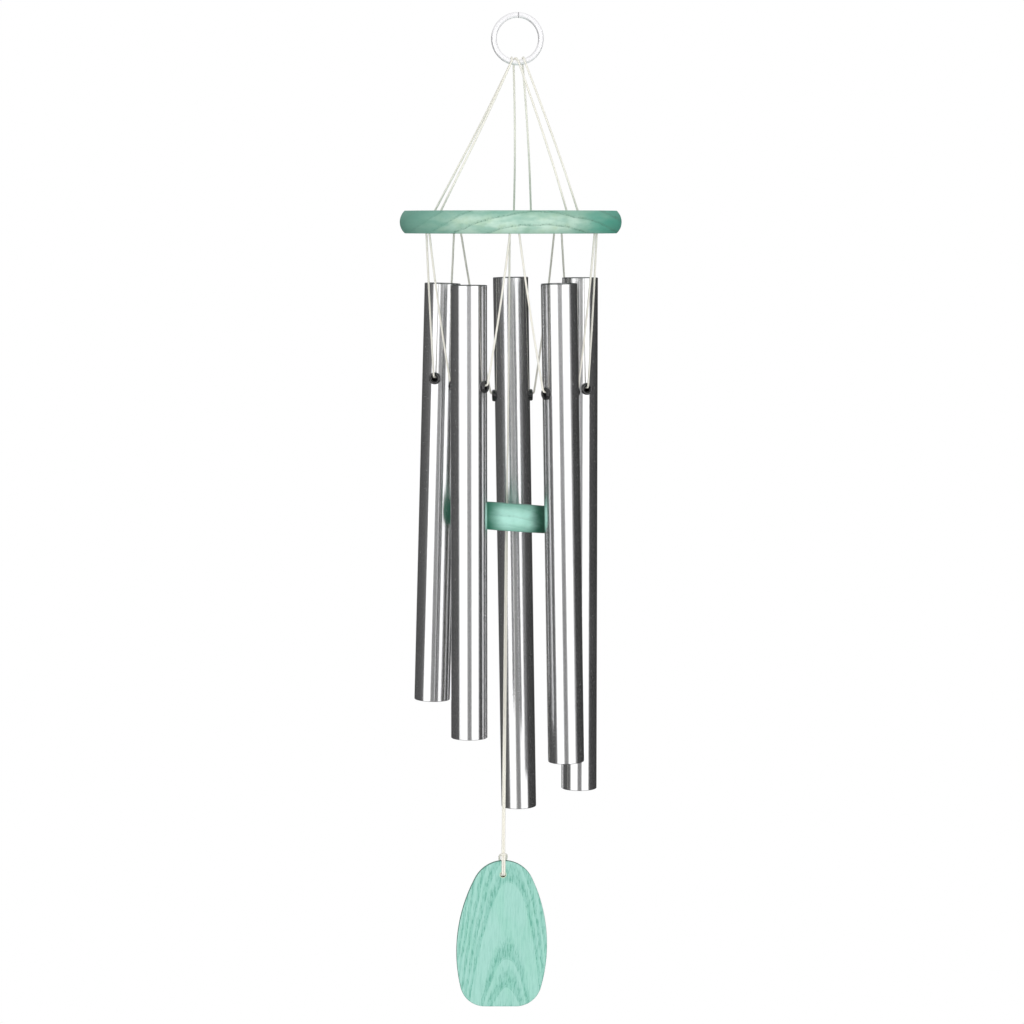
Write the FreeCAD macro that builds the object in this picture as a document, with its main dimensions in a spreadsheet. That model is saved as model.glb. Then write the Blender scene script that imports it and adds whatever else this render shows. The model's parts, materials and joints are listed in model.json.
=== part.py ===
"""A hanging wind chime: a ring, a wooden top disc on three cord loops, five tuned tubes hung
from one cord each, a wooden striker in the middle and a flat wooden wind sail below.

Millimetres. The origin is the centre of the hanging ring, +Z is up, and the ring's own axis is Y.
The disc, tubes, striker and sail hang below the ring, a little to the left of its centre.
"""
import FreeCAD, Part
import math
import os

import Sketcher
from FreeCAD import Placement, Rotation, Vector

TUBE_COUNT = 5
TUBE_STEP = 360 / TUBE_COUNT
HALF_STEP = TUBE_STEP / 2
SUSPENSION_COUNT = 3
SUSPENSION_STEP = 360 / SUSPENSION_COUNT

# Every driving dimension: name, value, what it is. Lengths in millimetres, angles in degrees.
DIMENSIONS = (
    ("ring_wire_radius", 1.72, "radius of the ring's round wire"),
    ("ring_mean_radius", 14.33, "ring centre to the middle of the wire"),
    ("ring_joint_angle", 0.8, "opening of the butt joint at the top of the ring"),
    ("disc_axis_x", -4.1, "the disc hangs to the left, because the cord loops slide on the ring"),
    ("disc_drop", 111.2, "ring centre down to the middle of the disc"),
    ("disc_radius", 68.0, "top disc, at the middle of its rounded rim"),
    ("disc_thickness", 13.8, "top disc"),
    ("disc_bulge", 3.0, "how far the disc's rim swells beyond its flat faces"),
    ("disc_edge", 0.8, "rounding where rim meets face"),
    ("centre_hole", 2.0, "radius of the hole in the middle of the disc"),
    ("cord_radius", 0.65, "waxed cord"),
    ("cord_hole", 1.3, "radius of the cord holes through the disc"),
    ("slot_depth", 1.8, "slots that take the cord where it crosses from hole to hole"),
    ("slot_sink", 0.3, "how far the cord lies below the face in such a slot"),
    ("recess_radius", 3.4, "recesses that hide the knots in the disc and the striker"),
    ("recess_depth", 5.2, "those recesses"),
    ("loop_clearance", 0.2, "cord loop to ring wire"),
    ("loop_left_x", -3.2, "where the left loop sits on the ring"),
    ("loop_middle_x", -0.9, "where the middle loop sits on the ring"),
    ("loop_right_x", 3.6, "where the right loop sits on the ring"),
    ("suspension_circle", 48.0, "disc centre to the middle of a pair of suspension holes"),
    ("suspension_gap", 10.8, "between the two holes of a suspension pair"),
    ("suspension_turn", -38.8, "direction of the front right suspension pair"),
    ("tube_circle", 45.0, "disc centre to each tube's axis"),
    ("tube_radius", 11.1, "outside radius of every tube"),
    ("tube_wall", 1.6, "wall thickness of every tube"),
    ("tube_bevel", 0.3, "bevel on the ends of a tube"),
    ("longest_tube", 337.6, "length of the tube with the lowest note"),
    ("first_tube_angle", 92.5, "direction of the longest tube, at the back"),
    ("tube_cord_gap", 5.4, "between the two tube-cord holes of a pair in the disc"),
    ("cord_end_gap", 0.2, "a hanging strand's end to the face it leaves"),
    ("grommet_hole", 2.4, "radius of the cross hole that a grommet fills"),
    ("grommet_bore", 1.7, "radius of the grommet's own bore"),
    ("grommet_flange", 3.7, "radius of the outer flange"),
    ("grommet_inner_flange", 3.2, "radius of the flange inside the tube"),
    ("grommet_stand", 1.7, "the outer flange's face above the tube"),
    ("grommet_reach", 1.0, "the inner flange's face below the wall"),
    ("grommet_lip", 0.3, "step between the flange's rim and its inner lip"),
    ("centre_shift", -0.7, "the centre cord lies against the left of its hole"),
    ("centre_lean", 0.59, "lean of everything on the centre cord, its foot to the left"),
    ("striker_depth", 174.7, "underside of the disc to the striker's middle"),
    ("striker_radius", 27.5, "striker, at the middle of its rounded rim"),
    ("striker_thickness", 16.8, "striker"),
    ("striker_bulge", 1.6, "how far the striker's rim swells beyond its faces"),
    ("striker_edge", 1.2, "rounding where rim meets face"),
    ("striker_hole", 2.0, "radius of the striker's hole"),
    ("striker_tilt", 4.2, "the striker's right side hangs low"),
    ("striker_tip", -5.0, "the striker's front rides high"),
    ("knot_radius", 2.2, "overhand knots on the centre cord"),
    ("knot_gap", 0.4, "knot to the bottom of its recess"),
    ("link_gap", 0.1, "between two pieces of cord that swing on each other"),
    ("sail_depth", 390.9, "underside of the disc to the sail's top edge"),
    ("sail_height", 93.0, "sail"),
    ("sail_width", 57.0, "sail, at its widest"),
    ("sail_thickness", 3.5, "sail"),
    ("sail_edge", 0.7, "rounding of the sail's rim"),
    ("sail_top_arc", 20.0, "radius of the sail's narrow round top"),
    ("sail_side_arc", 100.0, "radius of its long sides"),
    ("sail_corner_arc", 16.0, "radius of its two lower corners"),
    ("sail_hole", 1.6, "radius of the hole for the hitch"),
    ("sail_hole_drop", 8.7, "top edge to the middle of that hole"),
    ("sail_shift", 0.6, "the sail's middle is this far to the right of its cord"),
    ("sail_lean", 1.6, "the sail's foot hangs to the left"),
    ("sail_yaw", 6.0, "the sail turns its left edge to the front"),
    ("sail_strand", 0.5, "radius of each of the sail's two strands"),
    ("hitch_radius", 1.6, "turn of the hitch around its own strands"),
    ("hitch_rise", 5.3, "sail's top edge up to that turn"),
)

# For each tube, clockwise from the back: pitch over the lowest pitch, top below the disc's middle,
# where the cross hole is as a share of the length, and how it comes to rest: outwards, sideways
# (anticlockwise seen from above), and its lean in the same two directions.
TUBE_COLUMNS = ("pitch", "top", "hole", "out", "side", "lean_out", "lean_side")
TUBES = (
    (1.0, 34.5, 0.2203, 0.0, -3.0, 0.0, -0.9),
    (1.111, 34.2, 0.2137, 0.4, -1.2, 0.0, 0.0),
    (1.333, 36.9, 0.2258, 0.0, 2.9, 0.0, 1.2),
    (1.5, 37.8, 0.2213, 0.0, -0.5, 0.0, 0.0),
    (1.682, 37.6, 0.2243, 0.4, 0.0, 1.65, 0.0),
)

doc = FreeCAD.newDocument("WindChime")
sheet = doc.addObject("Spreadsheet::Sheet", "Dimensions")
sub_parts = []


# ---- the sheet, and small helpers ---------------------------------------------------------------


def fill_sheet():
    """Write each dimension as a named cell beside its description."""
    rows = list(DIMENSIONS)
    for number, values in enumerate(TUBES, start=1):
        for column, value in zip(TUBE_COLUMNS, values):
            rows.append((f"tube_{number}_{column}", value, f"tube {number}: {column}"))
    for row, (name, value, meaning) in enumerate(rows, start=1):
        sheet.set(f"A{row}", meaning)
        sheet.set(f"B{row}", str(value))
        sheet.setAlias(f"B{row}", name)
    doc.recompute()


def cell(name):
    """A dimension as it is written in an expression."""
    return f"Dimensions.{name}"


def value(name):
    """A dimension as a number."""
    return float(sheet.get(name))


def bind(item, **expressions):
    """Bind properties of an object to expressions."""
    for prop, expression in expressions.items():
        item.setExpression(prop, expression)


def place(item, x="0", y="0", z="0", yaw="0", pitch="0", roll="0"):
    """Bind an object's placement: yaw about Z, then pitch about Y, then roll about X."""
    turned = f"rotation({yaw};{pitch};{roll})"
    item.setExpression("Placement", f"placement(vector({x};{y};{z});{turned})")


def sub_part(item, label):
    """Name a finished piece, which is written to its own file."""
    item.Label = label
    sub_parts.append(item)
    return item


def new_body(name):
    return doc.addObject("PartDesign::Body", name)


def new_sketch(body, name, role):
    """An empty sketch on one of its body's own origin planes."""
    sketch = body.newObject("Sketcher::SketchObject", name)
    plane = next(f for f in body.Origin.OriginFeatures if f.Role == role)
    sketch.AttachmentSupport = [(plane, "")]
    sketch.MapMode = "FlatFace"
    return sketch


def origin_axis(body, role):
    return next(f for f in body.Origin.OriginFeatures if f.Role == role)


def name_constraint(sketch, constraint, name, expression):
    """Add a sized constraint and bind it to an expression."""
    index = sketch.addConstraint(constraint)
    sketch.renameConstraint(index, name)
    sketch.setExpression(f"Constraints.{name}", expression)


def circle_at(sketch, name, radius, x=None, y=None):
    """A circle whose radius and centre are bound; the centre is the origin unless given."""
    start = Vector(1 if x else 0, 1 if y else 0, 0)
    circle = sketch.addGeometry(Part.Circle(start, Vector(0, 0, 1), 1.0))
    if x:
        across = Sketcher.Constraint("DistanceX", -1, 1, circle, 3, 1.0)
        name_constraint(sketch, across, f"{name}_x", x)
    else:
        sketch.addConstraint(Sketcher.Constraint("PointOnObject", circle, 3, -2))
    if y:
        up = Sketcher.Constraint("DistanceY", -1, 1, circle, 3, 1.0)
        name_constraint(sketch, up, f"{name}_y", y)
    else:
        sketch.addConstraint(Sketcher.Constraint("PointOnObject", circle, 3, -1))
    name_constraint(sketch, Sketcher.Constraint("Radius", circle, 1.0), f"{name}_radius", radius)


def polygon(sketch, points):
    """A closed outline of straight lines with every corner bound; points are expression pairs."""
    corners = [(read(x), read(y)) for x, y in points]
    lines = []
    for index, corner in enumerate(corners):
        following = corners[(index + 1) % len(corners)]
        line = Part.LineSegment(Vector(*corner, 0), Vector(*following, 0))
        lines.append(sketch.addGeometry(line))
    for index, line in enumerate(lines):
        after = lines[(index + 1) % len(lines)]
        sketch.addConstraint(Sketcher.Constraint("Coincident", line, 2, after, 1))
    for index, (line, (x, y)) in enumerate(zip(lines, points)):
        across = Sketcher.Constraint("DistanceX", -1, 1, line, 1, corners[index][0])
        name_constraint(sketch, across, f"corner_{index}_x", x)
        up = Sketcher.Constraint("DistanceY", -1, 1, line, 1, corners[index][1])
        name_constraint(sketch, up, f"corner_{index}_y", y)


def read(expression):
    """The number that an expression has now."""
    result = sheet.evalExpression(expression)
    return float(getattr(result, "Value", result))


def revolve(body, sketch):
    """A full turn of a sketch about its own upright axis."""
    turn = body.newObject("PartDesign::Revolution", f"{body.Name}_turned")
    turn.Profile = sketch
    turn.ReferenceAxis = (sketch, ["V_Axis"])
    turn.Angle = 360
    doc.recompute()
    return turn


def pocket_through(body, sketch):
    """Cut a sketch's outline right through, both ways from its plane, and make sure it cut."""
    before = body.Shape.Volume
    pocket = body.newObject("PartDesign::Pocket", f"{sketch.Name}_cut")
    pocket.Profile = sketch
    pocket.Type = "ThroughAll"
    pocket.Midplane = True
    doc.recompute()
    if body.Shape.Volume >= before:
        raise RuntimeError(f"{pocket.Name} cut nothing")
    return pocket


def repeat_around(body, feature, count):
    """Repeat a feature evenly about the body's Z axis."""
    pattern = body.newObject("PartDesign::PolarPattern", f"{feature.Name}_repeated")
    pattern.Originals = [feature]
    pattern.Axis = (origin_axis(body, "Z_Axis"), [""])
    pattern.Angle = 360
    pattern.Occurrences = count
    body.Tip = pattern
    doc.recompute()


def dress(body, kind, edges, **sizes):
    """Round or bevel edges of a body's newest feature; kind is Fillet or Chamfer."""
    last = body.Tip
    dressing = body.newObject(f"PartDesign::{kind}", f"{body.Name}_{kind.lower()}")
    dressing.Base = (last, edges)
    bind(dressing, **sizes)
    body.Tip = dressing
    doc.recompute()


def edge_names(shape, chosen):
    """Names of the edges of a shape that a test accepts."""
    return [f"Edge{n}" for n, edge in enumerate(shape.Edges, start=1) if chosen(edge)]


def is_circle(edge, radius=None):
    """Whether an edge is round, and of a given radius if one is given."""
    round_edge = isinstance(edge.Curve, Part.Circle)
    return round_edge and (radius is None or abs(edge.Curve.Radius - radius) < 1e-4)


# ---- hanging ring -------------------------------------------------------------------------------


def make_ring():
    """A closed ring of round wire in the XZ plane; its ends meet in a butt joint at the top."""
    ring = doc.addObject("Part::Torus", "hanging_ring")
    bind(
        ring,
        Radius1=cell("ring_mean_radius"),
        Radius2=cell("ring_wire_radius"),
        Angle3=f"360 - {cell('ring_joint_angle')}",
    )
    place(ring, pitch=f"-90 - {cell('ring_joint_angle')} / 2", roll="-90")
    sub_part(ring, "hanging_ring")


# ---- wooden discs -------------------------------------------------------------------------------


def rimmed_disc(name, part):
    """A flat disc whose rim swells in an arc: the top disc and the striker. Axis Z, centred."""
    body = new_body(name)
    sketch = new_sketch(body, f"{name}_section", "XZ_Plane")
    radius, thickness = cell(f"{part}_radius"), cell(f"{part}_thickness")
    bulge = cell(f"{part}_bulge")
    half = value(f"{part}_thickness") / 2
    flat = value(f"{part}_radius") - value(f"{part}_bulge")
    low, high = Vector(0, -half, 0), Vector(0, half, 0)
    low_rim, high_rim = Vector(flat, -half, 0), Vector(flat, half, 0)
    crown = Vector(value(f"{part}_radius"), 0, 0)
    axis = sketch.addGeometry(Part.LineSegment(high, low))
    under = sketch.addGeometry(Part.LineSegment(low, low_rim))
    rim = sketch.addGeometry(Part.Arc(low_rim, crown, high_rim))
    over = sketch.addGeometry(Part.LineSegment(high_rim, high))
    for first, first_end, second, second_end in (
        (axis, 2, under, 1),
        (under, 2, rim, 1),
        (rim, 2, over, 1),
        (over, 2, axis, 1),
    ):
        joined = Sketcher.Constraint("Coincident", first, first_end, second, second_end)
        sketch.addConstraint(joined)
    sketch.addConstraint(Sketcher.Constraint("Vertical", axis))
    sketch.addConstraint(Sketcher.Constraint("PointOnObject", axis, 1, -2))
    sketch.addConstraint(Sketcher.Constraint("Horizontal", under))
    sketch.addConstraint(Sketcher.Constraint("Horizontal", over))
    sketch.addConstraint(Sketcher.Constraint("PointOnObject", rim, 3, -1))
    tall = Sketcher.Constraint("DistanceY", axis, 2, axis, 1, 2 * half)
    name_constraint(sketch, tall, "thickness", thickness)
    wide = Sketcher.Constraint("DistanceX", under, 1, under, 2, flat)
    name_constraint(sketch, wide, "flat_radius", f"{radius} - {bulge}")
    curve = Sketcher.Constraint("Radius", rim, sketch.Geometry[rim].Radius)
    arc_radius = f"(({thickness} / 2) ^ 2 + {bulge} ^ 2) / (2 * {bulge})"
    name_constraint(sketch, curve, "rim_radius", arc_radius)
    revolve(body, sketch)
    rims = edge_names(body.Shape, lambda edge: is_circle(edge, flat))
    dress(body, "Fillet", rims, Radius=cell(f"{part}_edge"))
    return body


def pair_of_holes(body, name, turn, circle, gap, count):
    """Two holes side by side at a distance from the axis, repeated evenly about it."""
    sketch = new_sketch(body, name, "XY_Plane")
    sketch.setExpression(".AttachmentOffset.Rotation.Yaw", turn)
    circle_at(sketch, "ahead", cell("cord_hole"), x=circle, y=f"{gap} / 2")
    circle_at(sketch, "behind", cell("cord_hole"), x=circle, y=f"-{gap} / 2")
    repeat_around(body, pocket_through(body, sketch), count)


def pocket_from(body, sketch, depth, over):
    """Cut a sketch's outline into a face, from above (+1) or from below (-1), and make sure it cut."""
    before = body.Shape.Volume
    pocket = body.newObject("PartDesign::Pocket", f"{sketch.Name}_cut")
    pocket.Profile = sketch
    pocket.Reversed = over < 0
    bind(pocket, Length=depth)
    doc.recompute()
    if body.Shape.Volume >= before:
        raise RuntimeError(f"{pocket.Name} cut nothing")
    return pocket


def face_sketch(body, name, thickness, over, turn="0"):
    """A sketch on the upper (+1) or lower (-1) face of a wooden disc, turned about its axis."""
    sketch = new_sketch(body, name, "XY_Plane")
    sketch.setExpression(".AttachmentOffset.Base.z", f"{over} * {thickness} / 2")
    sketch.setExpression(".AttachmentOffset.Rotation.Yaw", turn)
    return sketch


def slots_between_holes(body, name, turn, circle, gap, count, over):
    """A slot from hole to hole of each pair, so that the cord crosses below the face."""
    sketch = face_sketch(body, name, cell("disc_thickness"), over, turn)
    near, far = f"{circle} - {cell('cord_hole')}", f"{circle} + {cell('cord_hole')}"
    half = f"{gap} / 2"
    polygon(sketch, ((near, f"-{half}"), (far, f"-{half}"), (far, half), (near, half)))
    repeat_around(body, pocket_from(body, sketch, cell("slot_depth"), over), count)


def knot_recess(body, name, thickness, over):
    """A round recess in the middle of one face, where a knot hides."""
    sketch = face_sketch(body, name, thickness, over)
    circle_at(sketch, "recess", cell("recess_radius"))
    body.Tip = pocket_from(body, sketch, cell("recess_depth"), over)


def tube_pair_circle():
    """Disc centre to the middle of a pair of tube-cord holes: it puts the two holes that carry a
    tube on a line over that tube's axis, so that the tube hangs straight."""
    half_gap = f"{cell('tube_cord_gap')} / 2"
    return f"({cell('tube_circle')} - {half_gap} * sin({HALF_STEP})) / cos({HALF_STEP})"


def make_top_disc():
    body = rimmed_disc("top_disc", "disc")
    centre = new_sketch(body, "centre_hole_outline", "XY_Plane")
    circle_at(centre, "centre", cell("centre_hole"))
    body.Tip = pocket_through(body, centre)
    pair_of_holes(
        body,
        "suspension_holes",
        cell("suspension_turn"),
        cell("suspension_circle"),
        cell("suspension_gap"),
        SUSPENSION_COUNT,
    )
    first_pair = f"{cell('first_tube_angle')} - {HALF_STEP}"
    gap = cell("tube_cord_gap")
    pair_of_holes(body, "tube_cord_holes", first_pair, tube_pair_circle(), gap, TUBE_COUNT)
    slots_between_holes(body, "tube_cord_slots", first_pair, tube_pair_circle(), gap, TUBE_COUNT, 1)
    slots_between_holes(
        body,
        "suspension_slots",
        cell("suspension_turn"),
        cell("suspension_circle"),
        cell("suspension_gap"),
        SUSPENSION_COUNT,
        -1,
    )
    knot_recess(body, "disc_recess", cell("disc_thickness"), 1)
    place(body, x=cell("disc_axis_x"), z=f"-{cell('disc_drop')}")
    sub_part(body, "top_disc")


# ---- suspension cord ----------------------------------------------------------------------------


def straight_run(start, end):
    """A straight piece of round cord with a ball at its far end, which fills the bend there."""
    radius = value("cord_radius")
    run = Part.makeCylinder(radius, (end - start).Length, start, end - start)
    return run.fuse(Part.makeSphere(radius, end))


def suspension_hole(pair, side):
    """Where a suspension hole is, seen from above. Pair 0 is front right, 1 back, 2 left; side is
    +1 for the hole further anticlockwise and -1 for the other."""
    turn = math.radians(value("suspension_turn") + pair * SUSPENSION_STEP)
    out, along = value("suspension_circle"), side * value("suspension_gap") / 2
    x = value("disc_axis_x") + out * math.cos(turn) - along * math.sin(turn)
    y = out * math.sin(turn) + along * math.cos(turn)
    return x, y


def suspension_loop(loop_x, front, back):
    """A cord up from one hole, over the ring's wire and down to another hole. Its ends are just
    above the stitches that join them under the disc."""
    radius = value("cord_radius")
    wire_z = -math.sqrt(value("ring_mean_radius") ** 2 - loop_x**2)
    bend = value("ring_wire_radius") + value("loop_clearance") + radius
    top = -value("disc_drop") + value("disc_thickness") / 2
    stitch = value("slot_sink") + 2 * radius + value("link_gap")
    foot = top - value("disc_thickness") + stitch
    pieces = []
    for side, (x, y) in ((-1, front), (1, back)):
        turn, rim = Vector(loop_x, side * bend, wire_z), Vector(x, y, top)
        pieces += [straight_run(rim, turn), straight_run(Vector(x, y, foot), rim)]
    mouth = Part.makeCircle(radius, Vector(loop_x, -bend, wire_z), Vector(0, 0, 1))
    over = Part.Face(Part.Wire([mouth]))
    pieces.append(over.revolve(Vector(loop_x, 0, wire_z), Vector(1, 0, 0), -180))
    return pieces[0].multiFuse(pieces[1:]).removeSplitter()


def make_suspension_cords():
    """The left loop carries the left pair of holes. The middle and right loops each run from the
    front right pair to the back pair."""
    right, rear, left = 0, 1, 2
    runs = (
        ("suspension_cord_left", "loop_left_x", (left, 1), (left, -1)),
        ("suspension_cord_middle", "loop_middle_x", (right, -1), (rear, 1)),
        ("suspension_cord_right", "loop_right_x", (right, 1), (rear, -1)),
    )
    for label, loop, front, back in runs:
        cord = doc.addObject("Part::Feature", label)
        cord.Shape = suspension_loop(value(loop), suspension_hole(*front), suspension_hole(*back))
        cord.Placement = Placement()
        sub_part(cord, label)


def make_stitch(label, x, y, z, turn, gap):
    """A short run of cord that lies in its slot, from hole to hole of a pair."""
    run = doc.addObject("Part::Cylinder", label)
    bind(run, Radius=cell("cord_radius"), Height=f"{gap} + 2 * {cell('cord_radius')}")
    start = f"({gap} / 2 + {cell('cord_radius')})"
    place(
        run,
        x=f"{x} + sin({turn}) * {start}",
        y=f"{y} - cos({turn}) * {start}",
        z=z,
        yaw=turn,
        pitch="0",
        roll="-90",
    )
    sub_part(run, label)


def sunk_stitch():
    """From the middle of the disc to the middle of a cord that lies in a slot."""
    return f"({cell('disc_thickness')} / 2 - {cell('slot_sink')} - {cell('cord_radius')})"


def make_suspension_stitches():
    """Under the disc the cord crosses from hole to hole of each suspension pair."""
    circle, gap = cell("suspension_circle"), cell("suspension_gap")
    for pair, side in enumerate(("right", "back", "left")):
        turn = f"({cell('suspension_turn')} + {pair * SUSPENSION_STEP})"
        make_stitch(
            f"suspension_stitch_{side}",
            f"{cell('disc_axis_x')} + cos({turn}) * {circle}",
            f"sin({turn}) * {circle}",
            f"-{cell('disc_drop')} - {sunk_stitch()}",
            turn,
            gap,
        )


def make_tube_cord_stitches():
    """On top of the disc the tube cord crosses from hole to hole of each of its pairs."""
    circle, gap = f"({tube_pair_circle()})", cell("tube_cord_gap")
    for number in range(1, TUBE_COUNT + 1):
        turn = f"({tube_angle(number)} - {HALF_STEP})"
        make_stitch(
            f"tube_cord_stitch_{number}",
            f"{cell('disc_axis_x')} + cos({turn}) * {circle}",
            f"sin({turn}) * {circle}",
            f"-{cell('disc_drop')} + {sunk_stitch()}",
            turn,
            gap,
        )


# ---- tubes, their grommets and cords ------------------------------------------------------------


def tube_angle(number):
    """Direction of a tube from the disc's axis; the tubes run clockwise from the back."""
    return f"({cell('first_tube_angle')} - {(number - 1) * TUBE_STEP})"


def tube_length(number):
    """A free tube's pitch goes with one over its length squared."""
    return f"({cell('longest_tube')} / sqrt({cell(f'tube_{number}_pitch')}))"


def hole_below_top(number):
    return f"({cell(f'tube_{number}_hole')} * {tube_length(number)})"


def hang_point(number):
    """The middle of a tube's cross hole, as x, y and z expressions."""
    turn = tube_angle(number)
    out = f"({cell('tube_circle')} + {cell(f'tube_{number}_out')})"
    side = cell(f"tube_{number}_side")
    x = f"{cell('disc_axis_x')} + cos({turn}) * {out} - sin({turn}) * {side}"
    y = f"sin({turn}) * {out} + cos({turn}) * {side}"
    z = f"-{cell('disc_drop')} - {cell(f'tube_{number}_top')} - {hole_below_top(number)}"
    return x, y, z


def place_on_tube(item, number):
    """A tube's own frame: origin in the cross hole, X outwards, Y along the hole, Z up the tube."""
    x, y, z = hang_point(number)
    lean_out, lean_side = cell(f"tube_{number}_lean_out"), cell(f"tube_{number}_lean_side")
    place(item, x, y, z, yaw=tube_angle(number), pitch=f"-{lean_out}", roll=lean_side)


def make_tube(number):
    """A straight tube with bevelled ends and one cross hole near its upper node."""
    label = f"tube_{number}"
    body = new_body(label)
    section = new_sketch(body, f"{label}_section", "XY_Plane")
    foot = f"{hole_below_top(number)} - {tube_length(number)}"
    section.setExpression(".AttachmentOffset.Base.z", foot)
    circle_at(section, "outside", cell("tube_radius"))
    circle_at(section, "inside", f"{cell('tube_radius')} - {cell('tube_wall')}")
    pad = body.newObject("PartDesign::Pad", f"{label}_wall")
    pad.Profile = section
    bind(pad, Length=tube_length(number))
    doc.recompute()
    dress(body, "Chamfer", edge_names(body.Shape, is_circle), Size=cell("tube_bevel"))
    hole = new_sketch(body, f"{label}_cross_hole", "XZ_Plane")
    circle_at(hole, "hole", cell("grommet_hole"))
    body.Tip = pocket_through(body, hole)
    place_on_tube(body, number)
    return sub_part(body, label)


def make_grommet(tube, number, side):
    """A flanged grommet, moulded round the tube's wall where the cord leaves it. Side is +1 for
    the one further anticlockwise and -1 for the other."""
    label = f"tube_{number}_{'left' if side > 0 else 'right'}_grommet"
    blank = new_body(f"{label}_blank")
    section = new_sketch(blank, f"{label}_section", "XY_Plane")
    if side < 0:
        section.AttachmentOffset = Placement(Vector(0, 0, 0), Rotation(Vector(1, 0, 0), 180))
    bore, flange = cell("grommet_bore"), cell("grommet_flange")
    inner, lip = cell("grommet_inner_flange"), cell("grommet_lip")
    middle = f"{cell('tube_radius')} - {cell('tube_wall')} / 2"
    low = f"{cell('tube_radius')} - {cell('tube_wall')} - {cell('grommet_reach')}"
    high = f"{cell('tube_radius')} + {cell('grommet_stand')}"
    polygon(
        section,
        (
            (bore, low),
            (inner, low),
            (inner, middle),
            (flange, middle),
            (flange, f"{high} - 2 * {lip}"),
            (f"{flange} - 2 * {lip}", high),
            (f"{bore} + 3 * {lip}", high),
            (f"{bore} + 2 * {lip}", f"{high} - {lip}"),
            (f"{bore} + {lip}", high),
            (bore, f"{high} - {lip}"),
        ),
    )
    revolve(blank, section)
    place_on_tube(blank, number)
    doc.recompute()
    grommet = doc.addObject("Part::Cut", label)
    grommet.Base = blank
    grommet.Tool = tube
    sub_part(grommet, label)


def make_tube_cord(number):
    """One tube's share of the cord: down from the disc, through the tube and up again. Its frame
    is the tube's, without the tube's lean."""
    label = f"tube_{number}_cord"
    radius = cell("cord_radius")
    half_gap = f"{cell('tube_cord_gap')} / 2"
    exit_side = f"({tube_pair_circle()}) * sin({HALF_STEP}) - {half_gap} * cos({HALF_STEP})"
    bend = f"({cell('tube_radius')} + {cell('grommet_stand')} + {radius} + {cell('link_gap')})"
    rise = (
        f"({cell(f'tube_{number}_top')} + {hole_below_top(number)}"
        f" - {cell('disc_thickness')} / 2 - {radius} - {cell('cord_end_gap')})"
    )
    pieces = []
    cross = doc.addObject("Part::Cylinder", f"{label}_cross")
    bind(cross, Radius=radius, Height=f"2 * {bend}")
    place(cross, y=f"-{bend}", roll="-90")
    pieces.append(cross)
    for word, sign in (("left", ""), ("right", "-")):
        away = f"({exit_side} - {sign or '+'}{cell(f'tube_{number}_side')} - {bend})"
        strand = doc.addObject("Part::Cylinder", f"{label}_{word}_strand")
        bind(strand, Radius=radius, Height=f"sqrt({away} ^ 2 + {rise} ^ 2)")
        slope = f"atan({away} / {rise})"
        opposite = "-" if sign == "" else ""
        place(strand, y=f"{sign}{bend}", roll=f"{opposite}{slope}")
        corner = doc.addObject("Part::Sphere", f"{label}_{word}_bend")
        bind(corner, Radius=radius)
        place(corner, y=f"{sign}{bend}")
        pieces += [strand, corner]
    cord = doc.addObject("Part::MultiFuse", label)
    cord.Shapes = pieces
    x, y, z = hang_point(number)
    place(cord, x, y, z, yaw=tube_angle(number))
    sub_part(cord, label)


# ---- centre cord, striker and sail --------------------------------------------------------------


def on_centre_cord(item, depth, shift="0", **turns):
    """Put a piece on the centre cord's line, at a depth under the disc's underside, or a little to
    the right of that line."""
    lean = cell("centre_lean")
    turns.setdefault("pitch", lean)
    hang = f"{cell('disc_axis_x')} + {cell('centre_shift')}"
    place(
        item,
        x=f"{hang} - sin({lean}) * ({depth}) + {shift}",
        z=f"-{cell('disc_drop')} - {cell('disc_thickness')} / 2 - cos({lean}) * ({depth})",
        **turns,
    )


def knot_depth():
    """The knot in the striker's lower recess, which carries the striker."""
    floor = f"{cell('striker_thickness')} / 2 - {cell('recess_depth')}"
    return f"{cell('striker_depth')} + {floor} + {cell('knot_gap')} + {cell('knot_radius')}"


def make_knot(label, depth):
    knot = doc.addObject("Part::Sphere", label)
    bind(knot, Radius=cell("knot_radius"))
    on_centre_cord(knot, depth)
    sub_part(knot, label)


def make_straight_cord(label, radius, upper, lower):
    """A straight run of cord between two depths on the centre line."""
    run = doc.addObject("Part::Cylinder", label)
    bind(run, Radius=radius, Height=f"({lower}) - ({upper})")
    on_centre_cord(run, lower)
    return run


def make_striker():
    body = rimmed_disc("striker", "striker")
    hole = new_sketch(body, "striker_hole_outline", "XY_Plane")
    circle_at(hole, "hole", cell("striker_hole"))
    body.Tip = pocket_through(body, hole)
    knot_recess(body, "striker_recess", cell("striker_thickness"), -1)
    depth = cell("striker_depth")
    on_centre_cord(body, depth, pitch=cell("striker_tilt"), roll=cell("striker_tip"))
    sub_part(body, "striker")


def make_centre_line():
    """Knot in the disc, cord down to the striker, and the knot that carries the striker."""
    knot, gap = cell("knot_radius"), cell("link_gap")
    recess_floor = f"{cell('recess_depth')} - {cell('disc_thickness')}"
    make_knot("centre_knot", f"{recess_floor} - {knot} - {gap}")
    lower = f"{knot_depth()} - {knot} - {gap}"
    cord = make_straight_cord("striker_cord", cell("cord_radius"), recess_floor, lower)
    sub_part(cord, "striker_cord")
    make_knot("striker_knot", knot_depth())


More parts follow.
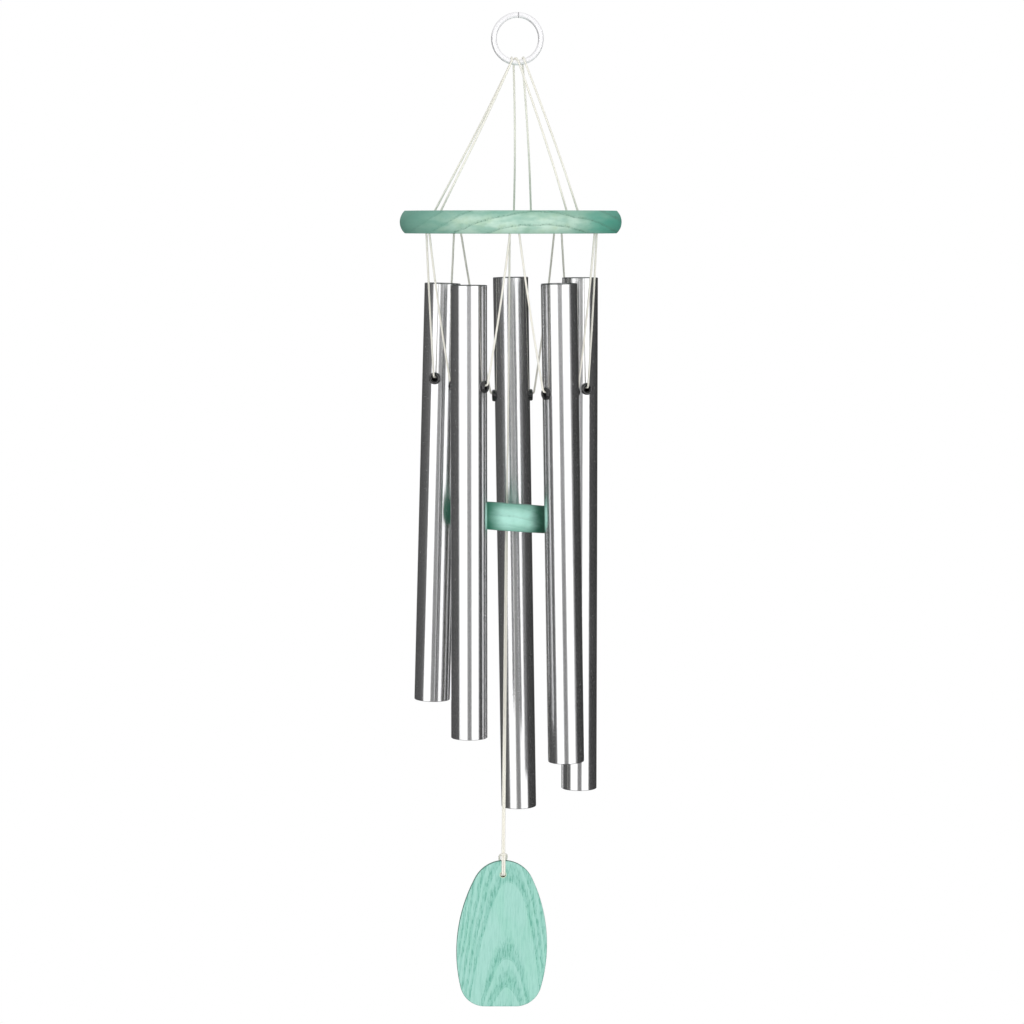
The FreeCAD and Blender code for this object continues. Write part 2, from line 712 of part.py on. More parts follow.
def sail_outline(sketch):
    """An egg with a flat foot: a small arc on top, two long side arcs, two corner arcs and a line.
    Each arc is tangent to the next, and the top of the egg is the sketch's origin."""
    top, side, corner = (value(f"sail_{part}_arc") for part in ("top", "side", "corner"))
    height, half = value("sail_height"), value("sail_width") / 2
    widest = top + math.sqrt((side - top) ** 2 - (side - half) ** 2)
    corner_x = math.sqrt((side - corner) ** 2 - (height - corner - widest) ** 2) - (side - half)
    top_middle = Vector(0, -top, 0)
    side_middle = Vector(half - side, -widest, 0)
    corner_middle = Vector(corner_x, corner - height, 0)
    shoulder = (top_middle - side_middle).getAngle(Vector(1, 0, 0))
    hip = (corner_middle - side_middle).getAngle(Vector(1, 0, 0))
    up = Vector(0, 0, 1)

    def arc(middle, radius, start, end):
        return sketch.addGeometry(Part.ArcOfCircle(Part.Circle(middle, up, radius), start, end))

    def mirrored(middle):
        return Vector(-middle.x, middle.y, 0)

    crown = arc(top_middle, top, shoulder, math.pi - shoulder)
    left = arc(mirrored(side_middle), side, math.pi - shoulder, math.pi + hip)
    left_corner = arc(mirrored(corner_middle), corner, math.pi + hip, 1.5 * math.pi)
    foot_ends = Vector(-corner_x, -height, 0), Vector(corner_x, -height, 0)
    foot = sketch.addGeometry(Part.LineSegment(*foot_ends))
    right_corner = arc(corner_middle, corner, -math.pi / 2, -hip)
    right = arc(side_middle, side, -hip, shoulder)
    for first, first_end, second, second_end in (
        (crown, 2, left, 1),
        (left, 2, left_corner, 1),
        (left_corner, 2, foot, 1),
        (foot, 2, right_corner, 1),
        (right_corner, 2, right, 1),
        (right, 2, crown, 1),
    ):
        smooth = Sketcher.Constraint("Tangent", first, first_end, second, second_end)
        sketch.addConstraint(smooth)
    sketch.addConstraint(Sketcher.Constraint("Equal", left, right))
    sketch.addConstraint(Sketcher.Constraint("Equal", left_corner, right_corner))
    sketch.addConstraint(Sketcher.Constraint("PointOnObject", crown, 3, -2))
    sketch.addConstraint(Sketcher.Constraint("Symmetric", foot, 1, foot, 2, -2))
    name_constraint(sketch, Sketcher.Constraint("Radius", crown, top), "top_arc", cell("sail_top_arc"))
    down = Sketcher.Constraint("DistanceY", crown, 3, -1, 1, top)
    name_constraint(sketch, down, "top_at_origin", cell("sail_top_arc"))
    name_constraint(sketch, Sketcher.Constraint("Radius", right, side), "side_arc", cell("sail_side_arc"))
    round_corner = Sketcher.Constraint("Radius", right_corner, corner)
    name_constraint(sketch, round_corner, "corner_arc", cell("sail_corner_arc"))
    tall = Sketcher.Constraint("DistanceY", foot, 1, -1, 1, height)
    name_constraint(sketch, tall, "height", cell("sail_height"))
    inset = Sketcher.Constraint("DistanceX", right, 3, -1, 1, side - half)
    name_constraint(sketch, inset, "half_width", f"{cell('sail_side_arc')} - {cell('sail_width')} / 2")


def make_sail():
    """A thin flat board with a softened rim and one hole for its cord."""
    body = new_body("wind_sail")
    outline = new_sketch(body, "sail_outline", "XZ_Plane")
    sail_outline(outline)
    pad = body.newObject("PartDesign::Pad", "sail_board")
    pad.Profile = outline
    pad.Midplane = True
    bind(pad, Length=cell("sail_thickness"))
    doc.recompute()
    half = value("sail_thickness") / 2

    def on_face(edge):
        box = edge.BoundBox
        return box.YLength < 1e-4 and abs(abs(box.Center.y) - half) < 1e-4

    dress(body, "Fillet", edge_names(body.Shape, on_face), Radius=cell("sail_edge"))
    hole = new_sketch(body, "sail_hole_outline", "XZ_Plane")
    drop, shift = f"-{cell('sail_hole_drop')}", cell("sail_shift")
    circle_at(hole, "hole", cell("sail_hole"), x=f"-{shift}", y=drop)
    body.Tip = pocket_through(body, hole)
    yaw, lean = cell("sail_yaw"), cell("sail_lean")
    on_centre_cord(body, cell("sail_depth"), shift=shift, yaw=yaw, pitch=lean)
    sub_part(body, "wind_sail")


def make_sail_cord():
    """Two strands side by side, from the striker's knot down to the hitch."""
    radius, gap = cell("sail_strand"), cell("link_gap")
    upper = f"{knot_depth()} + {cell('knot_radius')} + {gap}"
    lower = f"{cell('sail_depth')} - {cell('hitch_rise')} - {cell('hitch_radius')} - {gap}"
    strands = []
    for word, sign in (("left", "-"), ("right", "")):
        strand = doc.addObject("Part::Cylinder", f"sail_cord_{word}_strand")
        bind(strand, Radius=radius, Height=f"({lower}) - ({upper})")
        place(strand, x=f"{sign}{radius} * 0.95")
        strands.append(strand)
    cord = doc.addObject("Part::MultiFuse", "sail_cord")
    cord.Shapes = strands
    on_centre_cord(cord, lower)
    sub_part(cord, "sail_cord")


def make_hitch():
    """The cord's hitch on the sail: through the hole, over the top edge, round its own strands."""
    radius = cell("cord_radius")
    front = f"({cell('sail_thickness')} / 2 + {radius} + {cell('link_gap')})"
    rise = cell("hitch_rise")
    drop = f"({rise} + {cell('sail_hole_drop')})"
    turn = doc.addObject("Part::Sphere", "hitch_turn")
    bind(turn, Radius=cell("hitch_radius"))
    slope = f"atan({front} / {rise})"
    pieces = [turn]
    through = doc.addObject("Part::Cylinder", "hitch_through")
    bind(through, Radius=radius, Height=f"2 * {front}")
    place(through, y=f"-{front}", z=f"-{drop}", roll="-90")
    pieces.append(through)
    for word, sign, opposite in (("front", "-", ""), ("back", "", "-")):
        slant = doc.addObject("Part::Cylinder", f"hitch_{word}_slant")
        bind(slant, Radius=radius, Height=f"sqrt({front} ^ 2 + {rise} ^ 2)")
        place(slant, y=f"{sign}{front}", z=f"-{rise}", roll=f"{opposite}(-{slope})")
        upright = doc.addObject("Part::Cylinder", f"hitch_{word}_upright")
        bind(upright, Radius=radius, Height=cell("sail_hole_drop"))
        place(upright, y=f"{sign}{front}", z=f"-{drop}")
        pieces += [slant, upright]
        for level, depth in (("upper", rise), ("lower", drop)):
            bend = doc.addObject("Part::Sphere", f"hitch_{word}_{level}_bend")
            bind(bend, Radius=radius)
            place(bend, y=f"{sign}{front}", z=f"-{depth}")
            pieces.append(bend)
    hitch = doc.addObject("Part::MultiFuse", "sail_hitch")
    hitch.Shapes = pieces
    depth = f"{cell('sail_depth')} - {rise}"
    on_centre_cord(hitch, depth, yaw=cell("sail_yaw"))
    sub_part(hitch, "sail_hitch")


# ---- build, check, write ------------------------------------------------------------------------


def check_document():
    """Stop if any object failed, or if a piece has no sound shape."""
    for item in doc.Objects:
        if "Invalid" in item.State or "Error" in item.State:
            raise RuntimeError(f"{item.Name} did not build: {item.State}")
    for item in sub_parts:
        if item.Shape.isNull() or not item.Shape.isValid() or not item.Shape.Solids:
            raise RuntimeError(f"{item.Label} has no sound shape")


def write_parts():
    os.makedirs("parts", exist_ok=True)
    for item in sub_parts:
        item.Shape.exportStep(f"parts/{item.Label}.step")


fill_sheet()
make_ring()
make_top_disc()
make_suspension_cords()
make_suspension_stitches()
make_tube_cord_stitches()
for tube_number in range(1, TUBE_COUNT + 1):
    wall = make_tube(tube_number)
    make_grommet(wall, tube_number, 1)
    make_grommet(wall, tube_number, -1)
    make_tube_cord(tube_number)
make_centre_line()
make_striker()
make_sail_cord()
make_hitch()
make_sail()
doc.recompute()
check_document()
write_parts()
print(f"{len(sub_parts)} pieces written")
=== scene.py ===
"""The looks of a hanging wind chime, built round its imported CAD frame.

+Z is up and the camera looks along +Y. Lengths below are in millimetres, and they are turned into
metres when meshes, lights and the camera are made. Left and right are as the camera sees them.
"""

import json
import math

import bpy
import numpy as np
from mathutils import Matrix, Vector


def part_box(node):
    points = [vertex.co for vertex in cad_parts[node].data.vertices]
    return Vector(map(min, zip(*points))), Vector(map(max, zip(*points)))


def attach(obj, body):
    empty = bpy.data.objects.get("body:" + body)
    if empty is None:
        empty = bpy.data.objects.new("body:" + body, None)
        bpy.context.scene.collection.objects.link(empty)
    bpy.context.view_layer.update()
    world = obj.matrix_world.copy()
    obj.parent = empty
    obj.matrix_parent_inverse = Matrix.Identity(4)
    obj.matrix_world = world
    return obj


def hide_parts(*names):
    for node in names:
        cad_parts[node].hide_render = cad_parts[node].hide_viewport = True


MM = 0.001
TUBE_COUNT = 5

# The camera stands level with the disc and looks down by the pitch, in degrees.
CAMERA_PLACE = (-3.3, -1840.0, -111.2)
CAMERA_PITCH = 5.546
CAMERA_LENS = 105.0
CAMERA_SENSOR = 36.0
CAMERA_REACH = 50000.0

# The light in front of the chime.
FILL_PLACE = (60.0, -1500.0, -620.0)
FILL_AIM = (0.0, 0.0, -380.0)
FILL_WIDTH = 500.0
FILL_WATTS = 8.0

FLOOR_HEIGHT = -1600.0
FLOOR_WIDTH = 5000.0

# The cord: its radius, how finely it is meshed, how far its ends round off as a share of the
# radius, and its braid, whose depth is a share of the radius too.
CORD_RADIUS = 0.62
CORD_SIDES = 16
CORD_STEP = 0.4
CORD_END = 0.8
BRAID_STRANDS = 4
BRAID_PITCH = 5.6
BRAID_DEPTH = 0.05

# The sail's two strands are a little thinner. They start at a drop below the middle of the
# striker's knot and end at a foot, given in the hitch's own frame. Each lies to its own side of
# those two places, by a share of the first amount at the top and by the second at the foot.
STRAND_RADIUS = 0.6
STRAND_DROP = 0.8
STRAND_FOOT = (0.0, -0.3, 1.2)
STRAND_ASIDE = (0.42, 0.42, 0.0)
STRAND_LOW_ASIDE = (0.6, 0.1, 0.0)

# How many straight steps a rounded corner and a loop over the ring are made of.
CORNER_STEPS = 8
LOOP_STEPS = 16

# Corners of a cord's path are rounded over these lengths: where a strand bows, where a suspension
# strand enters its hole, at a stitch's ends, over the ring, at a grommet, and where a tube cord
# enters the disc.
BOW_ROUNDING = 20.0
HOLE_ROUNDING = 1.2
STITCH_ROUNDING = 1.3
LOOP_ROUNDING = 0.5
GROMMET_ROUNDING = 1.6
TUBE_HOLE_ROUNDING = 0.8

# Suspension cords: the air between loop and ring wire, how far below the disc's top face a strand
# turns upright in its hole, how far above the underside it ends, and how far it bows.
LOOP_CLEARANCE = 0.24
HOLE_ENTRY = 1.2
SUSPENSION_END = 2.5
SUSPENSION_BOW = (0.8, 0.0, -0.4)

# How far the ends of a stitch under the disc reach up into it, and how far short of the underside
# those of a stitch on top stay.
LOW_STITCH_REACH = 2.4
HIGH_STITCH_SHORT = 2.6

# Tube cords: how far they go up into the disc, how far they bow, where they turn into a grommet
# (beside the tube's axis and above the grommet's middle), and roughly how far beside the axis the
# right hole of the disc is to be looked for.
TUBE_CORD_ENTRY = 1.4
TUBE_CORD_BOW = 0.8
GROMMET_TURN = 13.55
GROMMET_TURN_RISE = 0.9
HOLE_SEARCH = 29

# Knots: turns of cord round the cord, how far down each turn goes, the steps they are drawn in, and
# how far the cord's bend and the first turn stay below the knot's top.
KNOT_TURNS = 2.0
KNOT_PITCH = 1.25
KNOT_STEPS = 20
KNOT_BEND_DROP = 1.1
KNOT_TURN_DROP = 1.3

# The centre cord's bow, and how far above the striker's knot it ends.
CENTRE_BOW = (0.3, 0.0, 0.0)
CENTRE_ROUNDING = 30.0
CENTRE_END_RISE = 1.6

# The ring's joint is this far right of the ring's centre.
SEAM_X = 0.6

# The sail turns its left edge to the front by this angle. The hitch grips its strands a rise above
# the sail's top edge, and the hole is a drop below that edge.
SAIL_YAW = 6.0
SAIL_HALF_THICKNESS = 1.75
HITCH_RISE = 5.3
HOLE_DROP = 8.7

# Each suspension loop: how far right of the ring's centre it lies on the wire's front and on its
# back, and the pair and the hole of that pair, +1 or -1, that its front and back end go down.
SUSPENSION_LOOPS = (
    ("suspension_cord_left", -3.3, -3.9, ("left", 1), ("left", -1)),
    ("suspension_cord_middle", 0.5, -2.4, ("right", -1), ("back", 1)),
    ("suspension_cord_right", 4.2, 3.0, ("right", 1), ("back", -1)),
)

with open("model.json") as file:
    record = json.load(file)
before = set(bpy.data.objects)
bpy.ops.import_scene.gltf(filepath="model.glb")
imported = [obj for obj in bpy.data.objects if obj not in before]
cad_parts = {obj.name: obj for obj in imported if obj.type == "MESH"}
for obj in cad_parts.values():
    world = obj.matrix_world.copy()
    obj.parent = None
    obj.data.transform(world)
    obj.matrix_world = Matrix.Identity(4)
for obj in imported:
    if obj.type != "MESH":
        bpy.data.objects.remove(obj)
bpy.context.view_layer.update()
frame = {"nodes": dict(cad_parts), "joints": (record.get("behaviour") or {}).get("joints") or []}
joints = {joint["name"]: joint for joint in frame["joints"]}


# ---- measuring the frame ------------------------------------------------------------------------


def box_mm(node):
    """The lowest and highest corner of a CAD node, in millimetres."""
    low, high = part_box(node)
    return low / MM, high / MM


def joint_place(name):
    """A joint's place, in millimetres."""
    return Vector(joints[name]["pos_m"]) / MM


def joint_axis(name):
    """A joint's axis, one unit long."""
    return Vector(joints[name]["axis"]).normalized()


DISC_LOW, DISC_HIGH = box_mm("top_disc")
DISC_AXIS = Vector(((DISC_LOW.x + DISC_HIGH.x) / 2, (DISC_LOW.y + DISC_HIGH.y) / 2, 0))
DISC_TOP = DISC_HIGH.z
DISC_UNDER = DISC_LOW.z


def hole_pair(stitch):
    """The middles of the two holes that a stitch joins, at the stitch's height, the clockwise one
    first. The stitch's box is longer than that by what the cord's thickness adds to it."""
    low, high = box_mm(stitch)
    middle = (low + high) / 2
    out = Vector((middle.x - DISC_AXIS.x, middle.y - DISC_AXIS.y, 0)).normalized()
    along = Vector((-out.y, out.x, 0))
    span = (high.x - low.x) * abs(along.x) + (high.y - low.y) * abs(along.y)
    thick = CORD_RADIUS * 2 * (1 + 2 * abs(along.x * along.y))
    half = along * (span - thick) / 2
    return middle - half, middle + half


# ---- paths --------------------------------------------------------------------------------------


def rounded(points, rounding):
    """A path through corner points whose inner corners are rounded, each by its own length along
    both its sides."""
    path = [Vector(points[0])]
    for index, reach in enumerate(rounding, start=1):
        before, corner, after = (Vector(points[index + k]) for k in (-1, 0, 1))
        reach = min(reach, (corner - before).length * 0.49, (after - corner).length * 0.49)
        start = corner + (before - corner).normalized() * reach
        end = corner + (after - corner).normalized() * reach
        for step in range(CORNER_STEPS + 1):
            t = step / CORNER_STEPS
            path.append(start * (1 - t) ** 2 + corner * 2 * t * (1 - t) + end * t**2)
    path.append(Vector(points[-1]))
    return path


def spline(points, per_span):
    """A smooth path through every point, with that many steps from each to the next."""
    padded = [points[0] * 2 - points[1]] + list(points) + [points[-1] * 2 - points[-2]]
    path = []
    for a, b, c, d in zip(padded, padded[1:], padded[2:], padded[3:]):
        for step in range(per_span):
            t = step / per_span
            path.append(
                (b * 2 + (c - a) * t + (a * 2 - b * 5 + c * 4 - d) * t**2
                 + (b * 3 - a - c * 3 + d) * t**3) / 2
            )
    path.append(points[-1])
    return path


def resampled(path, step):
    """The same path with its points evenly spaced, and how far along it each point is."""
    places = np.array([tuple(p) for p in path])
    keep = np.concatenate([[True], np.linalg.norm(np.diff(places, axis=0), axis=1) > 1e-6])
    places = places[keep]
    run = np.concatenate([[0], np.cumsum(np.linalg.norm(np.diff(places, axis=0), axis=1))])
    count = max(4, int(round(run[-1] / step)))
    wanted = np.linspace(0, run[-1], count + 1)
    return np.stack([np.interp(wanted, run, places[:, k]) for k in range(3)], axis=1), wanted


def sweep_frames(places):
    """For each point two directions across the path, carried along it without twisting."""
    tangents = np.gradient(places, axis=0)
    tangents /= np.linalg.norm(tangents, axis=1)[:, None]
    across = np.cross(tangents[0], (0.31, 0.87, 0.12))
    across /= np.linalg.norm(across)
    first = []
    for tangent in tangents:
        across = across - tangent * (across @ tangent)
        across /= np.linalg.norm(across)
        first.append(across)
    first = np.array(first)
    return first, np.cross(tangents, first)


def braid(turn, along):
    """Relief of a round braid, 0 in its grooves and 1 on its strands."""
    wind = 2 * math.pi * along / BRAID_PITCH * BRAID_STRANDS / 2
    one = np.cos(BRAID_STRANDS * turn + wind)
    other = np.cos(BRAID_STRANDS * turn - wind)
    return (np.maximum(one, other) + 1) / 2


def braided_surface(path, radius):
    """The vertices of a braided cord with rounded ends, one ring of them after another, and the
    braid's relief at each."""
    places, run = resampled(path, CORD_STEP)
    first, second = sweep_frames(places)
    turns = np.arange(CORD_SIDES) * 2 * math.pi / CORD_SIDES
    relief = braid(turns[None, :], run[:, None])
    reach = radius * (1 - BRAID_DEPTH + BRAID_DEPTH * relief)
    ends = np.minimum(run, run[-1] - run) / radius
    reach *= np.sqrt(1 - np.clip(CORD_END - ends, 0, CORD_END) ** 2)[:, None]
    rings = (
        places[:, None, :]
        + first[:, None, :] * (np.cos(turns)[None, :] * reach)[:, :, None]
        + second[:, None, :] * (np.sin(turns)[None, :] * reach)[:, :, None]
    )
    return rings.reshape(-1, 3), relief.reshape(-1)


def skin_faces(count):
    """The faces of a closed skin over that many rings of vertices."""
    faces = []
    for i in range(count - 1):
        low, high = i * CORD_SIDES, (i + 1) * CORD_SIDES
        for j in range(CORD_SIDES):
            k = (j + 1) % CORD_SIDES
            faces.append((low + j, low + k, high + k, high + j))
    faces.append(tuple(reversed(range(CORD_SIDES))))
    faces.append(tuple(range((count - 1) * CORD_SIDES, count * CORD_SIDES)))
    return faces


def cord(name, body, path, radius=CORD_RADIUS, stands_for=()):
    """A braided cord along a path, riding on a body, in place of the CAD nodes it stands for."""
    vertices, relief = braided_surface(path, radius)
    mesh = bpy.data.meshes.new(name)
    faces = skin_faces(len(vertices) // CORD_SIDES)
    mesh.from_pydata((vertices * MM).tolist(), [], faces)
    mesh.polygons.foreach_set("use_smooth", [True] * len(mesh.polygons))
    depth = mesh.attributes.new("braid", "FLOAT", "POINT")
    depth.data.foreach_set("value", relief.astype(np.float32))
    mesh.update()
    piece = bpy.data.objects.new(f"{name}_braid", mesh)
    bpy.context.scene.collection.objects.link(piece)
    piece.data.materials.append(CORD_MATERIAL)
    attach(piece, body)
    if stands_for:
        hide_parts(*stands_for)


# ---- shading helpers ----------------------------------------------------------------------------


class Shader:
    """A node tree under construction, with short ways to add the nodes used here."""

    def __init__(self, tree):
        self.tree = tree
        tree.nodes.clear()

    def node(self, kind, inputs=None, **settings):
        """A node with its settings; inputs are constants or other nodes' outputs."""
        made = self.tree.nodes.new(kind)
        for name, setting in settings.items():
            setattr(made, name, setting)
        for name, source in (inputs or {}).items():
            self.feed(made.inputs[name], source)
        return made

    def feed(self, socket, source):
        """Link a socket to another node's output, or set its constant."""
        if isinstance(source, bpy.types.NodeSocket):
            self.tree.links.new(source, socket)
        else:
            socket.default_value = source

    def math(self, operation, first, second=0.0, clamp=False):
        """One sum on two values; clamp keeps the result between 0 and 1."""
        made = self.node("ShaderNodeMath", {0: first, 1: second}, operation=operation)
        made.use_clamp = clamp
        return made.outputs[0]

    def smooth(self, value, low, high):
        """0 below low, 1 above high, and a smooth step between."""
        made = self.node(
            "ShaderNodeMapRange",
            {"Value": value, "From Min": low, "From Max": high},
            interpolation_type="SMOOTHSTEP",
        )
        return made.outputs["Result"]

    def place(self, scale=1.0):
        """Position in the piece's own frame; a scale of 1000 gives millimetres."""
        made = self.node("ShaderNodeTexCoord")
        return self.stretched(made.outputs["Object"], (scale, scale, scale))

    def stretched(self, vector, scale):
        """A position with each coordinate scaled."""
        made = self.node("ShaderNodeVectorMath", {0: vector, 1: scale}, operation="MULTIPLY")
        return made.outputs[0]

    def along(self, vector, direction, offset=0.0):
        """How far a position lies along a direction."""
        made = self.node("ShaderNodeVectorMath", {0: vector, 1: direction}, operation="DOT_PRODUCT")
        return self.math("ADD", made.outputs["Value"], offset)

    def length(self, vector):
        """How long a vector is."""
        made = self.node("ShaderNodeVectorMath", {0: vector}, operation="LENGTH")
        return made.outputs["Value"]

    def noise(self, vector, scale, detail=2.0, roughness=0.5):
        """Soft noise around 0.5."""
        made = self.node(
            "ShaderNodeTexNoise",
            {"Vector": vector, "Scale": scale, "Detail": detail, "Roughness": roughness},
        )
        return made.outputs["Fac"]

    def joined(self, x, y, z):
        """One vector, or one colour, from three values."""
        made = self.node("ShaderNodeCombineXYZ", {0: x, 1: y, 2: z})
        return made.outputs[0]

    def mix(self, share, first, second):
        """The first colour where share is 0, and the second where it is 1."""
        made = self.node("ShaderNodeMix", data_type="RGBA")
        for index, source in ((0, share), (6, first), (7, second)):
            self.feed(made.inputs[index], source)
        return made.outputs[2]

    def normal(self):
        """The surface's own direction."""
        return self.node("ShaderNodeNewGeometry").outputs["Normal"]

    def bump(self, height, strength, distance):
        """The surface's direction as a small relief tips it."""
        made = self.node(
            "ShaderNodeBump", {"Height": height, "Strength": strength, "Distance": distance}
        )
        return made.outputs["Normal"]

    def surface(self, **inputs):
        """The finished surface and the tree's output."""
        named = {name.replace("_", " "): source for name, source in inputs.items()}
        made = self.node("ShaderNodeBsdfPrincipled", named)
        self.node("ShaderNodeOutputMaterial", {"Surface": made.outputs[0]})


def new_material(name):
    """An empty material and its tree."""
    material = bpy.data.materials.new(name)
    material.use_nodes = True
    return material, Shader(material.node_tree)


def screen(red, green, blue):
    """A colour as it looks on a screen, 0 to 255, turned into linear light."""
    def linear(level):
        share = level / 255
        return share / 12.92 if share <= 0.04045 else ((share + 0.055) / 1.055) ** 2.4

    return (linear(red), linear(green), linear(blue), 1.0)


# ---- materials ----------------------------------------------------------------------------------


def cord_material():
    """Cream waxed cord: paler on the braid's strands, and duller in its grooves, which painted
    shade makes darker.
    """
    material, shade = new_material("waxed_cord")
    place = shade.place(1000)
    depth = shade.node("ShaderNodeAttribute", attribute_name="braid").outputs["Fac"]
    fibre = shade.noise(place, 2.5, 3.0, 0.6)
    stain = shade.noise(place, 0.05, 2.0)
    # Painted shade: the braid's grooves are a darker cream than its strands.
    colour = shade.mix(depth, screen(234, 232, 221), screen(249, 248, 240))
    colour = shade.mix(shade.math("MULTIPLY", stain, 0.3), colour, screen(240, 232, 210))
    height = shade.math("ADD", shade.math("MULTIPLY", fibre, 0.5), depth)
    shade.surface(
        Base_Color=colour,
        Roughness=shade.math("SUBTRACT", 0.75, shade.math("MULTIPLY", depth, 0.2)),
        Sheen_Weight=0.25,
        Sheen_Roughness=0.4,
        Normal=shade.bump(height, 0.08, 0.0001),
    )
    return material


def brushed_tube_material():
    """Bare aluminium, finely brushed round the tube, so that reflections smear along it. Its cut
    ends are rougher and carry painted shade in dark grey, and it has a few pale flecks."""
    material, shade = new_material("brushed_tube")
    place = shade.place(1000)
    lines = shade.noise(shade.stretched(place, (0.15, 0.15, 14.0)), 1.0, 2.0, 0.6)
    handling = shade.noise(shade.stretched(place, (0.06, 0.06, 0.02)), 1.0, 3.0, 0.6)
    flecks = shade.noise(shade.stretched(place, (0.9, 0.9, 2.2)), 1.0, 1.0)
    bright = shade.math("ADD", 0.78, shade.math("MULTIPLY", lines, 0.14))
    marks = shade.smooth(flecks, 0.76, 0.8)
    colour = shade.joined(bright, bright, shade.math("MULTIPLY", bright, 1.01))
    colour = shade.mix(marks, colour, (1.0, 1.0, 1.0, 1.0))
    normal = shade.normal()
    facing_up_or_down = shade.math("ABSOLUTE", shade.along(normal, (0, 0, 1)))
    cut = shade.smooth(facing_up_or_down, 0.15, 0.5)
    # Painted shade: the cut ends, which face up or down, are painted dark grey.
    colour = shade.mix(cut, colour, screen(120, 121, 123))
    tangent = shade.node("ShaderNodeTangent", direction_type="RADIAL", axis="Z").outputs[0]
    rough = shade.math("ADD", 0.18, shade.math("MULTIPLY", handling, 0.08))
    rough = shade.math("ADD", rough, shade.math("MULTIPLY", cut, 0.3))
    shade.surface(
        Base_Color=colour,
        Metallic=1.0,
        Roughness=shade.math("ADD", rough, shade.math("MULTIPLY", marks, 0.3)),
        Anisotropic=0.8,
        Anisotropic_Rotation=0.25,
        Tangent=tangent,
        Normal=shade.bump(lines, 0.04, 0.00005),
    )
    return material


def bright_wire_material():
    """Bright plated wire, with painted light making it paler where it faces right, and a grey seam
    where its ends meet on top."""
    material, shade = new_material("bright_wire")
    place = shade.place(1000)
    lines = shade.noise(shade.stretched(place, (0.6, 4.0, 0.6)), 1.0, 2.0)
    colour = shade.mix(lines, screen(250, 249, 252), screen(254, 253, 255))
    aside = shade.math("ABSOLUTE", shade.along(place, (1, 0, 0), -SEAM_X))
    over = shade.smooth(shade.along(place, (0, 0, 1)), 0.0, 1.0)
    seam = shade.math("SUBTRACT", 1.0, shade.smooth(aside, 0.18, 0.42))
    seam = shade.math("MULTIPLY", seam, over)
    colour = shade.mix(shade.math("MULTIPLY", seam, 0.7), colour, screen(104, 100, 106))
    height = shade.math("SUBTRACT", 1.0, seam)
    normal = shade.normal()
    # Painted light: where the wire faces right, lowering its metallic makes it paler.
    pale = shade.smooth(shade.along(normal, (1, 0, 0)), -0.6, 0.2)
    shade.surface(
        Base_Color=colour,
        Metallic=shade.math("SUBTRACT", 0.5, shade.math("MULTIPLY", pale, 0.42)),
        Roughness=shade.math("ADD", 0.26, shade.math("MULTIPLY", lines, 0.02)),
        Normal=shade.bump(height, 0.2, 0.0001),
    )
    return material


def black_rubber_material():
    """Smooth black moulded rubber with a soft gloss."""
    material, shade = new_material("black_rubber")
    place = shade.place(1000)
    cloud = shade.noise(place, 1.6, 2.0)
    shade.surface(
        Base_Color=shade.mix(cloud, screen(16, 16, 17), screen(36, 36, 38)),
        Roughness=shade.math("ADD", 0.14, shade.math("MULTIPLY", cloud, 0.12)),
        IOR=1.75,
        Normal=shade.bump(cloud, 0.05, 0.0001),
    )
    return material


# Where the sail's rings begin, as radii from the pith, and how sudden each start is, as a share of
# all of them.
SAIL_RINGS = (32.4, 34.2, 35.8, 40.0, 41.5, 43.2, 45.0, 46.6, 48.9, 51.0, 53.1, 55.2)
RING_START = 0.0005


